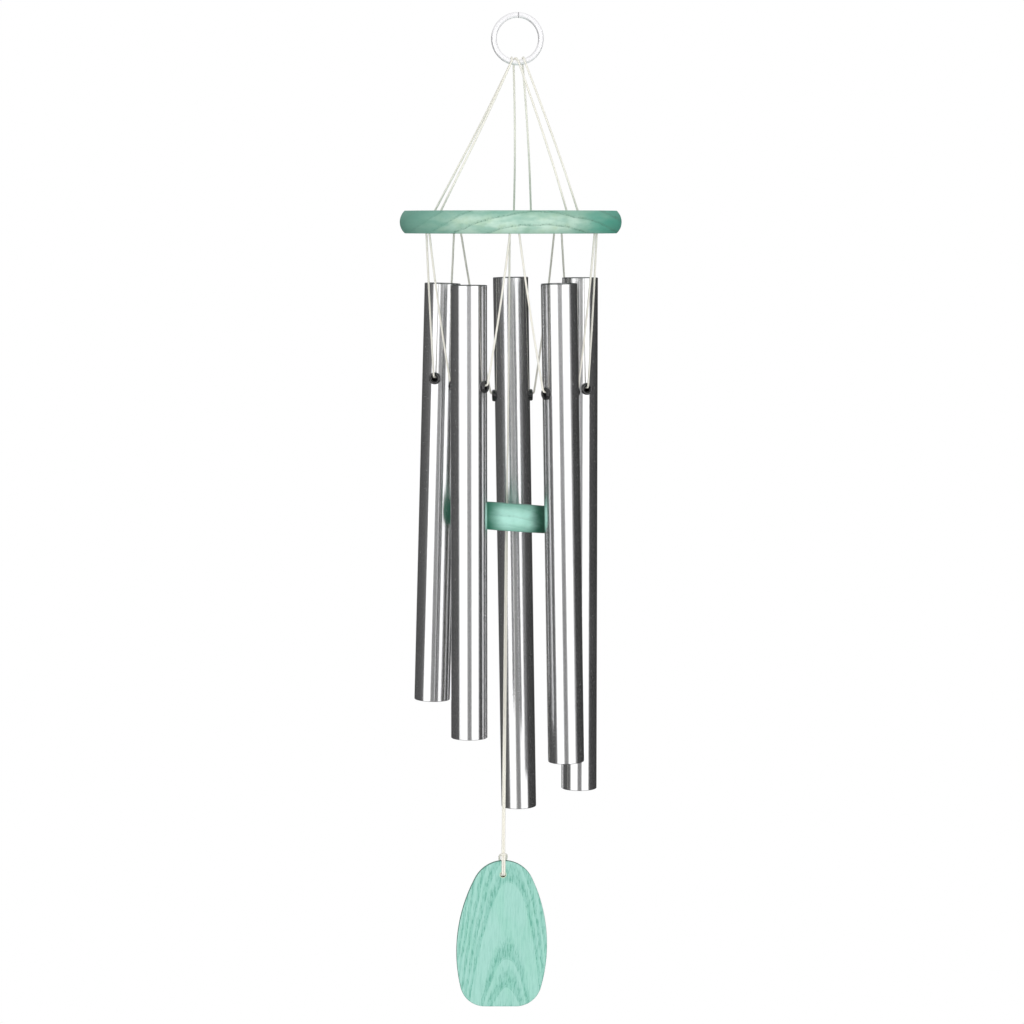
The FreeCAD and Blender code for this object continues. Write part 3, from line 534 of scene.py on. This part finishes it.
class Ash:
    """Open-grained ash under a thin stain, shaded from where a point lies round the pith."""

    def __init__(self, name, across, deep, grain, warp, spacing=None, phase=0.0, starts=None):
        """Across and deep are (direction, offset) pairs that measure a place from the pith, and
        grain is the pith's direction. The rings are evenly spaced, or begin at the radii in
        starts; warp is how far they stray."""
        self.material, self.shade = new_material(name)
        shade = self.shade
        self.place = shade.place(1000)
        one = shade.along(self.place, across[0], across[1])
        two = shade.along(self.place, deep[0], deep[1])
        run = shade.along(self.place, grain)
        self.grain_place = shade.joined(one, two, run)
        self.slow = shade.stretched(self.grain_place, (0.05, 0.05, 0.016))
        bend = shade.math("SUBTRACT", shade.noise(self.slow, 1.0, 2.0), 0.5)
        stray = shade.math("MULTIPLY", bend, warp)
        self.radius = shade.math("ADD", shade.length(shade.joined(one, two, 0.0)), stray)
        if starts:
            self.since = self.since_start(starts)
        else:
            turn = shade.math("ADD", shade.math("DIVIDE", self.radius, spacing), phase)
            self.since = shade.math("MULTIPLY", shade.math("FRACT", turn), spacing)

    def since_start(self, starts):
        """How far beyond the start of its ring a place lies, for rings of uneven width."""
        shade = self.shade
        low, span = starts[0], starts[-1] - starts[0]
        widest = max(after - before for before, after in zip(starts, starts[1:]))
        beyond = shade.math("SUBTRACT", self.radius, low)
        share = shade.math("DIVIDE", beyond, span, clamp=True)
        ramp = shade.node("ShaderNodeValToRGB", {"Fac": share})
        steps = ramp.color_ramp.elements
        stops = []
        for before, after in zip(starts, starts[1:]):
            stops.append(((before - low) / span, 0.0))
            stops.append(((after - low) / span - RING_START, (after - before) / widest))
        for index, (place, level) in enumerate(stops):
            step = steps[index] if index < len(steps) else steps.new(1.0)
            step.position = place
            step.color = (level, level, level, 1)
        return shade.math("MULTIPLY", ramp.outputs["Color"], widest)

    def streaks(self, width, length, low, high, depth=1.0):
        """Marks drawn out along the grain, as a mask; a depth below 1 draws them out away from
        the pith too."""
        scaled = self.shade.stretched(self.grain_place, (1 / width, depth / width, 1 / length))
        return self.shade.smooth(self.shade.noise(scaled, 1.0, 2.0, 0.6), low, high)

    def early(self, begin, end, ragged, rough_width, rough_length):
        """The porous wood at the start of each ring: crisp where the ring starts, and ending in
        spikes along the grain."""
        shade = self.shade
        scale = (1 / rough_width, 1 / rough_width, 1 / rough_length)
        scaled = shade.stretched(self.grain_place, scale)
        spikes = shade.math("SUBTRACT", shade.noise(scaled, 1.0, 3.0, 0.65), 0.5)
        pushed = shade.math("ADD", self.since, shade.math("MULTIPLY", spikes, ragged))
        fading = shade.math("SUBTRACT", 1.0, shade.smooth(pushed, begin, end))
        return shade.math("MULTIPLY", fading, shade.smooth(self.since, 0.0, 0.2))

    def finish(self, colour, height):
        """The finished material; height is 0 in the pores and 1 between them."""
        shade = self.shade
        shade.surface(
            Base_Color=colour,
            Roughness=shade.math("ADD", 0.4, shade.math("MULTIPLY", height, 0.2)),
            Specular_IOR_Level=0.4,
            Normal=shade.bump(height, 0.3, 0.0003),
        )
        return self.material


def pore_rows(ash, across, left):
    """Thin rows of pores at the starts of the rings, fainter towards the left, and the pores
    themselves, with a few stray ones between the rows."""
    shade = ash.shade
    row = ash.early(0.6, 1.7, 2.4, 0.7, 8.0)
    dots = ash.streaks(0.6, 5.0, 0.52, 0.58)
    specks = ash.streaks(0.8, 5.0, 0.6, 0.7)
    shown = shade.math("MULTIPLY", shade.smooth(across, *left[:2]), 0.8)
    shown = shade.math("SUBTRACT", 1.0, shown)
    row = shade.math("MULTIPLY", row, shown)
    holes = shade.math("MULTIPLY", row, dots)
    holes = shade.math("ADD", holes, shade.math("MULTIPLY", specks, 0.2), clamp=True)
    return row, holes


def stained_and_shaded(ash, across, pale, warm, left, right, above, top, foot, blotches):
    """The stain on a disc's rim: pale and warm patches with darker blotches, and painted shade
    towards both faces and both sides. Above is the direction and offset that measure a height from
    the rim's middle; top and foot are where a face's painted shade starts, where it is full, and
    how strong it is; left and right are where a side's painted shade starts, where it is full, and
    its colour."""
    shade = ash.shade
    patch = shade.smooth(shade.noise(ash.slow, 3.1, 2.0), 0.4, 0.8)
    colour = shade.mix(shade.math("MULTIPLY", patch, 0.55), pale, warm)
    cloudy = shade.noise(shade.stretched(ash.slow, (1.6, 4.4, 1.0)), 1.0, 2.0, 0.5)
    cloudy = shade.math("MULTIPLY", shade.smooth(cloudy, 0.42, 0.7), blotches)
    colour = shade.mix(cloudy, colour, left[2])
    height = shade.along(ash.place, *above)
    # Painted shade: the rim darkens towards its top and bottom faces.
    for start, full, most in (top, foot):
        face = shade.smooth(height, start, full)
        colour = shade.mix(shade.math("MULTIPLY", face, most), colour, left[2])
    # Painted shade: the rim darkens towards both of its sides.
    for start, full, deep in (left, right):
        side = shade.smooth(across, start, full)
        colour = shade.mix(shade.math("MULTIPLY", side, 0.95), colour, deep)
    return colour


def end_grain(ash, pore, lining, left, right, **stain):
    """A disc's finished material: the stain, painted shade to the left and right, and rows of pores
    as strong as lining says."""
    shade = ash.shade
    across = shade.along(ash.place, (1, 0, 0))
    cloud = shade.noise(shade.stretched(ash.slow, (0.8, 2.2, 1.0)), 1.0, 3.0, 0.6)
    cloud = shade.math("MULTIPLY", shade.math("SUBTRACT", cloud, 0.5), right[1] - right[0])
    across = shade.math("ADD", across, cloud)
    row, holes = pore_rows(ash, across, left)
    band = ash.early(0.5, 6.0, 4.0, 2.0, 12.0)
    colour = stained_and_shaded(ash, across, left=left, right=right, **stain)
    colour = shade.mix(shade.math("MULTIPLY", band, lining * 0.3), colour, left[2])
    colour = shade.mix(shade.math("MULTIPLY", row, lining * 0.12), colour, pore)
    colour = shade.mix(shade.math("MULTIPLY", holes, lining), colour, pore)
    return ash.finish(colour, shade.math("SUBTRACT", 1.0, holes))


def disc_material():
    """The top disc: a plank whose grain runs from front to back, its rings arching over the
    rim."""
    ash = Ash(
        "stained_ash_disc",
        across=((1, 0, 0), -11.8),
        deep=((0, 0, 1), 212.0),
        grain=(0, 1, 0),
        warp=3.4,
        spacing=7.5,
        phase=-0.13,
    )
    return end_grain(
        ash,
        pale=screen(201, 230, 213),
        warm=screen(180, 208, 172),
        pore=screen(82, 124, 104),
        # Left and right set the painted shade towards the rim's sides, and top and foot set it
        # towards its faces.
        left=(-20, -70, screen(110, 170, 152)),
        right=(28, 62, screen(80, 172, 150)),
        lining=0.75,
        blotches=0.5,
        above=((0, 0, 1), 111.2),
        top=(0.5, 6.0, 0.55),
        foot=(-2.5, -7.5, 0.35),
    )


def striker_material():
    """The striker: the same ash, with its pith far below and a little to the left."""
    ash = Ash(
        "stained_ash_striker",
        across=((1, 0, 0), 12.0),
        deep=((0, 0, 1), 352.0),
        grain=(0, 1, 0),
        warp=5.0,
        spacing=6.0,
        phase=0.62,
    )
    return end_grain(
        ash,
        pale=screen(182, 234, 220),
        warm=screen(160, 218, 198),
        pore=screen(84, 152, 132),
        # Left and right set painted shadow of the front tubes on both ends, with some deeper stain;
        # top and foot set painted shade towards the faces.
        left=(-7, -19, screen(46, 120, 96)),
        right=(6, 14, screen(10, 84, 62)),
        lining=0.24,
        blotches=0.1,
        above=((0.073, 0.087, 0.993), 291.2),
        top=(1.5, 8.5, 0.5),
        foot=(-3.0, -8.5, 0.5),
    )


def sail_grain(ash):
    """The sail's wood: rings and pores drawn out upwards. Its colour, and a mask of its pores."""
    shade = ash.shade
    light, dark = screen(167, 217, 205), screen(110, 182, 164)
    band = ash.early(0.4, 1.5, 1.5, 0.6, 6.0)
    pores = ash.streaks(0.55, 5.0, 0.5, 0.6, depth=0.2)
    lines = ash.streaks(0.8, 16.0, 0.42, 0.7, depth=0.2)
    patch = shade.smooth(shade.noise(ash.slow, 2.2, 2.0), 0.4, 0.75)
    sparse = shade.math("ADD", 0.14, shade.math("MULTIPLY", band, 0.86))
    pores = shade.math("MULTIPLY", pores, sparse)
    colour = shade.mix(shade.math("MULTIPLY", patch, 0.5), light, screen(150, 212, 192))
    colour = shade.mix(shade.math("MULTIPLY", lines, 0.25), colour, dark)
    colour = shade.mix(shade.math("MULTIPLY", band, 0.35), colour, dark)
    colour = shade.mix(shade.math("MULTIPLY", pores, 0.7), colour, screen(78, 158, 136))
    return colour, pores


def pale_ring_and_shaded_hole(shade, away, colour):
    """The sail is paler in a ring round its hole, and inside the hole the brown bare wood is
    darkened by painted shade. Away is how far a place is from the hole's middle."""
    pale_ring = shade.math("SUBTRACT", 1.0, shade.smooth(away, 1.95, 2.45))
    # Painted shade: inside the hole the bare wood is painted dark brown.
    inside = shade.math("SUBTRACT", 1.0, shade.smooth(away, 1.62, 1.74))
    colour = shade.mix(shade.math("MULTIPLY", pale_ring, 0.6), colour, screen(216, 228, 190))
    return shade.mix(inside, colour, screen(104, 92, 62))


def darker_edges(shade, away, facing, colour):
    """Painted shade darkens the sail's cut edges, but not its hole."""
    flat = shade.math("ABSOLUTE", shade.along(shade.normal(), facing))
    rim = shade.math("SUBTRACT", 1.0, shade.smooth(flat, 0.3, 0.8))
    rim = shade.math("MULTIPLY", rim, shade.smooth(away, 1.7, 1.8))
    # Painted shade on the cut edges.
    return shade.mix(shade.math("MULTIPLY", rim, 0.8), colour, screen(62, 118, 102))


def sail_material():
    """The sail: a flat-sawn board with upright grain, whose rings make arches that point up."""
    yaw = math.radians(SAIL_YAW)
    facing = Vector((-math.sin(yaw), math.cos(yaw), 0))
    hole = sail_hole()
    ash = Ash(
        "stained_ash_sail",
        across=((1, 0, -0.03), -10.4),
        deep=(facing + Vector((0, 0, 0.085)), 84.5 + SAIL_HALF_THICKNESS - facing.dot(hole)),
        grain=(0, 0, 1),
        warp=1.6,
        starts=SAIL_RINGS,
    )
    shade = ash.shade
    aside = shade.along(ash.place, (1, 0, 0), -hole.x)
    up = shade.along(ash.place, (0, 0, 1), -hole.z)
    away = shade.length(shade.joined(aside, up, 0.0))
    colour, pores = sail_grain(ash)
    colour = pale_ring_and_shaded_hole(shade, away, colour)
    colour = darker_edges(shade, away, facing, colour)
    return ash.finish(colour, shade.math("SUBTRACT", 1.0, pores))


# ---- cords --------------------------------------------------------------------------------------


def ring_wire():
    """The ring's mean radius and wire radius."""
    low, high = box_mm("hanging_ring")
    wire = (high.y - low.y) / 2
    return (high.z - low.z) / 2 - wire, wire


def loop_over_wire(front_x, back_x, front_foot, back_foot):
    """Points over the ring's wire, from the strand that comes up from the front foot to the one
    that goes down to the back foot."""
    mean, wire = ring_wire()
    bend = wire + CORD_RADIUS + LOOP_CLEARANCE
    middle_z = -math.sqrt(mean**2 - ((front_x + back_x) / 2) ** 2)
    start = math.pi - math.atan2(-front_foot.y, middle_z - front_foot.z)
    end = math.atan2(back_foot.y, middle_z - back_foot.z)
    points = []
    for step in range(LOOP_STEPS + 1):
        share = step / LOOP_STEPS
        turn = start + (end - start) * share
        x = front_x + (back_x - front_x) * share
        z = -math.sqrt(mean**2 - x**2)
        points.append(Vector((x, bend * math.cos(turn), z + bend * math.sin(turn))))
    return points


def bowed(start, end, bow):
    """Three inner points of a strand that isn't quite tight; bow is how far it strays halfway."""
    shares = (0.25, 0.5, 0.75)
    return [start.lerp(end, share) + bow * (4 * share * (1 - share)) for share in shares]


def suspension_cord(name, front_x, back_x, front, back):
    """Up from one hole of the disc, over the ring's wire and down to another."""
    ends = []
    for pair, side in (front, back):
        holes = hole_pair(f"suspension_stitch_{pair}")
        hole = holes[0] if side < 0 else holes[1]
        ends.append(Vector((hole.x, hole.y, DISC_TOP)))
    over = loop_over_wire(front_x, back_x, *ends)
    deep = Vector((0, 0, DISC_TOP - DISC_UNDER - SUSPENSION_END))
    inside = Vector((0, 0, HOLE_ENTRY))
    bow = Vector(SUSPENSION_BOW)
    first = [ends[0] - deep, ends[0] - inside, *bowed(ends[0], over[0], bow)]
    last = [*bowed(over[-1], ends[1], bow), ends[1] - inside, ends[1] - deep]
    points = first + over + last
    strand = [HOLE_ROUNDING] + [BOW_ROUNDING] * 3
    rounding = strand + [LOOP_ROUNDING] * len(over) + strand[::-1]
    cord(name, "canopy", rounded(points, rounding), stands_for=(name,))


def stitch(name, bulge):
    """A cord in its slot, from hole to hole, and down or up into both. Bulge is +1 for a stitch on
    top of the disc and -1 for one underneath."""
    one, other = hole_pair(name)
    depth = DISC_TOP - DISC_UNDER - HIGH_STITCH_SHORT if bulge > 0 else LOW_STITCH_REACH
    into = Vector((0, 0, -bulge * depth))
    path = rounded([one + into, one, other, other + into], [STITCH_ROUNDING] * 2)
    cord(name, "canopy", path, stands_for=(name,))


def tube_cord(number):
    """From the disc down to the tube, through both grommets and up again."""
    name = f"tube_{number}_cord"
    hang = joint_place(f"tube_{number}_tilt")
    away = -joint_axis(f"tube_{number}_tilt")
    beside = Vector((away.x, away.y, 0))
    strands = []
    for side, stitch_number in ((1, (number - 2) % TUBE_COUNT + 1), (-1, number)):
        wanted = hang.to_2d() + beside.to_2d() * HOLE_SEARCH * side
        pair = hole_pair(f"tube_cord_stitch_{stitch_number}")
        nearest = min(pair, key=lambda hole: (hole.to_2d() - wanted).length)
        top = Vector((nearest.x, nearest.y, DISC_UNDER))
        bend = hang + beside * side * GROMMET_TURN + Vector((0, 0, GROMMET_TURN_RISE))
        strands.append((top, bend, beside * side * TUBE_CORD_BOW))
    (top, bend, bow), (other_top, other_bend, other_bow) = strands
    rise = Vector((0, 0, TUBE_CORD_ENTRY))
    points = [top + rise, top, *bowed(top, bend, bow), bend]
    points += [other_bend, *bowed(other_bend, other_top, other_bow), other_top, other_top + rise]
    strand = [TUBE_HOLE_ROUNDING] + [BOW_ROUNDING] * 3 + [GROMMET_ROUNDING]
    path = rounded(points, strand + strand[::-1])
    cord(name, f"tube_{number}_hanger", path, stands_for=(name,))


def knot_path(centre, radius):
    """A stopper knot on an upright cord: up its middle, over the top and round the cord."""
    up = Vector((0, 0, 1))
    across = up.orthogonal().normalized()
    beside = up.cross(across)
    wrap = 2 * CORD_RADIUS
    points = [centre - up * radius, centre, centre + up * (radius - KNOT_BEND_DROP)]
    for step in range(KNOT_STEPS + 1):
        turns = KNOT_TURNS * step / KNOT_STEPS
        turn = 2 * math.pi * turns
        height = radius - KNOT_TURN_DROP - turns * KNOT_PITCH
        out = across * math.cos(turn) + beside * math.sin(turn)
        points.append(centre + out * wrap + up * height)
    return spline(points, 6)


def knot(name):
    """The knot in the disc's recess that the centre cord hangs from, or the one in the striker's
    recess that the striker rests on. Each has a body of its own name."""
    low, high = box_mm(name)
    path = knot_path((low + high) / 2, (high.z - low.z) / 2)
    cord(name, name, path, stands_for=(name,))


def striker_cord():
    """From the knot in the disc down to the knot in the striker."""
    top, foot = (sum(box_mm(node), Vector()) / 2 for node in ("centre_knot", "striker_knot"))
    end = foot + Vector((0, 0, CENTRE_END_RISE))
    points = [top, *bowed(top, foot, Vector(CENTRE_BOW)), end]
    path = rounded(points, [CENTRE_ROUNDING] * 3)
    cord("striker_cord", "centre_cord", path, stands_for=("striker_cord",))


def hitch_frame():
    """The hitch's own frame: origin where it grips its strands, X across the sail, Z up."""
    axis = joint_axis("sail_twist")
    lean = math.atan2(axis.x, axis.z)
    turned = Matrix.Rotation(math.radians(SAIL_YAW), 4, "Z") @ Matrix.Rotation(lean, 4, "Y")
    return Matrix.Translation(joint_place("sail_twist")) @ turned


def sail_hole():
    """The middle of the sail's hole."""
    return hitch_frame() @ Vector((0, 0, -HITCH_RISE - HOLE_DROP))


def sail_strands():
    """Two strands pressed together from the striker's knot down to the hitch, where they come out
    side by side."""
    top = sum(box_mm("striker_knot"), Vector()) / 2
    foot = hitch_frame() @ Vector(STRAND_FOOT)
    for word, side in (("left", -1), ("right", 1)):
        aside, low_aside = Vector(STRAND_ASIDE) * side, Vector(STRAND_LOW_ASIDE) * side
        start = top + aside * 0.6 - Vector((0, 0, STRAND_DROP))
        end = foot + low_aside
        middle = [
            start.lerp(end, 0.06) + aside * 0.4,
            start.lerp(end, 0.5) + aside * 0.2,
            start.lerp(end, 0.94) - low_aside * 0.1,
        ]
        path = rounded([start, *middle, end], [6.0, 60.0, 6.0])
        stands_for = ("sail_cord",) if side < 0 else ()
        cord(f"sail_cord_{word}", "sail_cord", path, STRAND_RADIUS, stands_for)


def sail_hitch():
    """A cow hitch: both strands go down the front and through the hole, and their bight comes up
    behind, over the top edge and round the front of the strands."""
    face = SAIL_HALF_THICKNESS + CORD_RADIUS + 0.05
    edge, hole = -HITCH_RISE, -HITCH_RISE - HOLE_DROP - 0.3
    half = (
        (0.5, -0.35, 2.2),
        (0.58, -0.7, 0.2),
        (0.66, -1.8, -3.4),
        (0.64, -face, edge - 1.0),
        (0.64, -face, hole + 1.7),
        (0.64, -face + 0.7, hole + 0.15),
        (0.64, 0.0, hole),
        (0.66, face - 0.7, hole + 0.15),
        (0.9, face, hole + 1.7),
        (1.5, face, edge - 1.8),
        (2.1, face - 0.2, edge + 0.2),
        (2.35, 1.0, edge + 2.0),
        (1.9, -0.9, edge + 3.7),
        (1.0, -2.1, edge + 4.3),
        (0.0, -2.4, edge + 4.4),
    )
    left = [Vector((-x, y, z)) for x, y, z in half]
    right = [Vector(place) for place in reversed(half[:-1])]
    turned = hitch_frame()
    path = spline([turned @ place for place in left + right], 8)
    cord("sail_hitch", "sail", path, stands_for=("sail_hitch",))


def make_cords():
    """Every cord and knot."""
    for name, front_x, back_x, front, back in SUSPENSION_LOOPS:
        suspension_cord(name, front_x, back_x, front, back)
    for side in ("left", "back", "right"):
        stitch(f"suspension_stitch_{side}", -1)
    for number in range(1, TUBE_COUNT + 1):
        stitch(f"tube_cord_stitch_{number}", 1)
        tube_cord(number)
    knot("centre_knot")
    striker_cord()
    knot("striker_knot")
    sail_strands()
    sail_hitch()


# ---- CAD nodes that keep their shape ------------------------------------------------------------


def repaint(node, material):
    """Give a CAD node its material."""
    piece = frame["nodes"][node]
    piece.data.materials.clear()
    piece.data.materials.append(material)


def paint_frame():
    """The looks of all CAD nodes that stay."""
    tube, rubber = brushed_tube_material(), black_rubber_material()
    repaint("hanging_ring", bright_wire_material())
    repaint("top_disc", disc_material())
    repaint("striker", striker_material())
    repaint("wind_sail", sail_material())
    for number in range(1, TUBE_COUNT + 1):
        repaint(f"tube_{number}", tube)
        for side in ("left", "right"):
            repaint(f"tube_{number}_{side}_grommet", rubber)


# ---- stage, light and camera --------------------------------------------------------------------

# What the chime sees round it, by direction seen from above: 0 is towards the camera and +90 to
# the right. Each row of WALLS is where a tone begins, the tone, and over how many degrees it comes
# in: a soft box in front, dark walls beyond it, and a dim one behind. Low down, the soft box leaves
# a gap round the camera; GAP says where, and GAP_TONE how bright the gap is. SKY and GROUND are
# the tones high above and far below. The heights, from -1 straight down to 1 straight up, are
# where the gap, the sky and the ground start and where they are full.
WALLS = (
    (-180, 0.3, 5),
    (-164, 0.08, 5),
    (-74, 0.12, 10),
    (-58, 1.5, 5),
    (63, 0.1, 5),
    (73, 0.04, 8),
    (164, 0.3, 5),
)
GAP = ((-180, 0.0, 5), (-11, 1.0, 5), (16, 0.0, 5))
GAP_TONE = 0.19
GAP_HEIGHTS = (0.1, 0.04)
SKY = 0.75
SKY_HEIGHTS = (0.12, 0.3)
GROUND = 0.7
GROUND_HEIGHTS = (-0.4, -0.6)


def blended(shade, share, first, second):
    """A tone that goes from the first to the second as share goes from 0 to 1."""
    kept = shade.math("MULTIPLY", first, shade.math("SUBTRACT", 1.0, share))
    return shade.math("ADD", kept, shade.math("MULTIPLY", share, second))


def round_about(shade, direction, rows):
    """The tone in a direction, going by rows like those above."""
    x = shade.along(direction, (1, 0, 0))
    toward = shade.along(direction, (0, -1, 0))
    angle = shade.math("MULTIPLY", shade.math("ARCTAN2", x, toward), 180 / math.pi)
    tone = rows[0][1]
    for (start, level, soft), (_, before, _) in zip(rows[1:], rows):
        step = shade.smooth(angle, start - soft / 2, start + soft / 2)
        tone = shade.math("ADD", tone, shade.math("MULTIPLY", step, level - before))
    return tone


def make_world():
    """Pure white behind the chime, and for light and reflections the tones above."""
    world = bpy.data.worlds.new("studio")
    world.use_nodes = True
    bpy.context.scene.world = world
    shade = Shader(world.node_tree)
    direction = shade.node("ShaderNodeTexCoord").outputs["Generated"]
    height = shade.along(direction, (0, 0, 1))
    walls, gap = (round_about(shade, direction, rows) for rows in (WALLS, GAP))
    gap = shade.math("MULTIPLY", gap, shade.smooth(height, *GAP_HEIGHTS))
    tone = blended(shade, gap, walls, GAP_TONE)
    tone = blended(shade, shade.smooth(height, *SKY_HEIGHTS), tone, SKY)
    tone = blended(shade, shade.smooth(height, *GROUND_HEIGHTS), tone, GROUND)
    camera_ray = shade.node("ShaderNodeLightPath").outputs["Is Camera Ray"]
    lit = shade.node("ShaderNodeBackground", {"Color": (1, 1, 1, 1), "Strength": tone})
    white = shade.node("ShaderNodeBackground", {"Color": (1, 1, 1, 1), "Strength": 1.0})
    ways = {0: camera_ray, 1: lit.outputs[0], 2: white.outputs[0]}
    both = shade.node("ShaderNodeMixShader", ways)
    shade.node("ShaderNodeOutputWorld", {"Surface": both.outputs[0]})


def make_fill_light():
    """A soft light from the front that falls on wood and cord but doesn't show in the metal."""
    data = bpy.data.lights.new("fill", "AREA")
    data.energy = FILL_WATTS
    data.size = FILL_WIDTH * MM
    light = bpy.data.objects.new("fill", data)
    light.location = Vector(FILL_PLACE) * MM
    toward = Vector(FILL_AIM) * MM - light.location
    light.rotation_euler = toward.to_track_quat("-Z", "Y").to_euler()
    light.visible_glossy = False
    light.visible_camera = False
    bpy.context.scene.collection.objects.link(light)


def make_floor():
    """A plain grey floor well below the chime, which the camera sees as white."""
    half, height = FLOOR_WIDTH / 2 * MM, FLOOR_HEIGHT * MM
    corners = [(x * half, y * half, height) for x, y in ((-1, -1), (1, -1), (1, 1), (-1, 1))]
    mesh = bpy.data.meshes.new("floor")
    mesh.from_pydata(corners, [], [(0, 1, 2, 3)])
    floor = bpy.data.objects.new("floor", mesh)
    bpy.context.scene.collection.objects.link(floor)
    material, shade = new_material("floor")
    grain = shade.noise(shade.place(1.0), 4.0, 2.0)
    tone = shade.mix(grain, (0.3, 0.3, 0.29, 1), (0.34, 0.34, 0.33, 1))
    shade.surface(
        Base_Color=tone,
        Roughness=0.9,
        Emission_Color=(1, 1, 1, 1),
        Emission_Strength=shade.node("ShaderNodeLightPath").outputs["Is Camera Ray"],
    )
    mesh.materials.append(material)


def make_camera():
    """The camera, and colours as they are."""
    data = bpy.data.cameras.new("camera")
    data.lens = CAMERA_LENS
    data.sensor_width = CAMERA_SENSOR
    data.clip_end = CAMERA_REACH * MM
    camera = bpy.data.objects.new("camera", data)
    camera.location = Vector(CAMERA_PLACE) * MM
    camera.rotation_euler = (math.radians(90 - CAMERA_PITCH), 0, 0)
    bpy.context.scene.collection.objects.link(camera)
    bpy.context.scene.camera = camera
    bpy.context.scene.view_settings.view_transform = "Standard"


CORD_MATERIAL = cord_material()
paint_frame()
make_cords()
make_floor()
make_world()
make_fill_light()
make_camera()
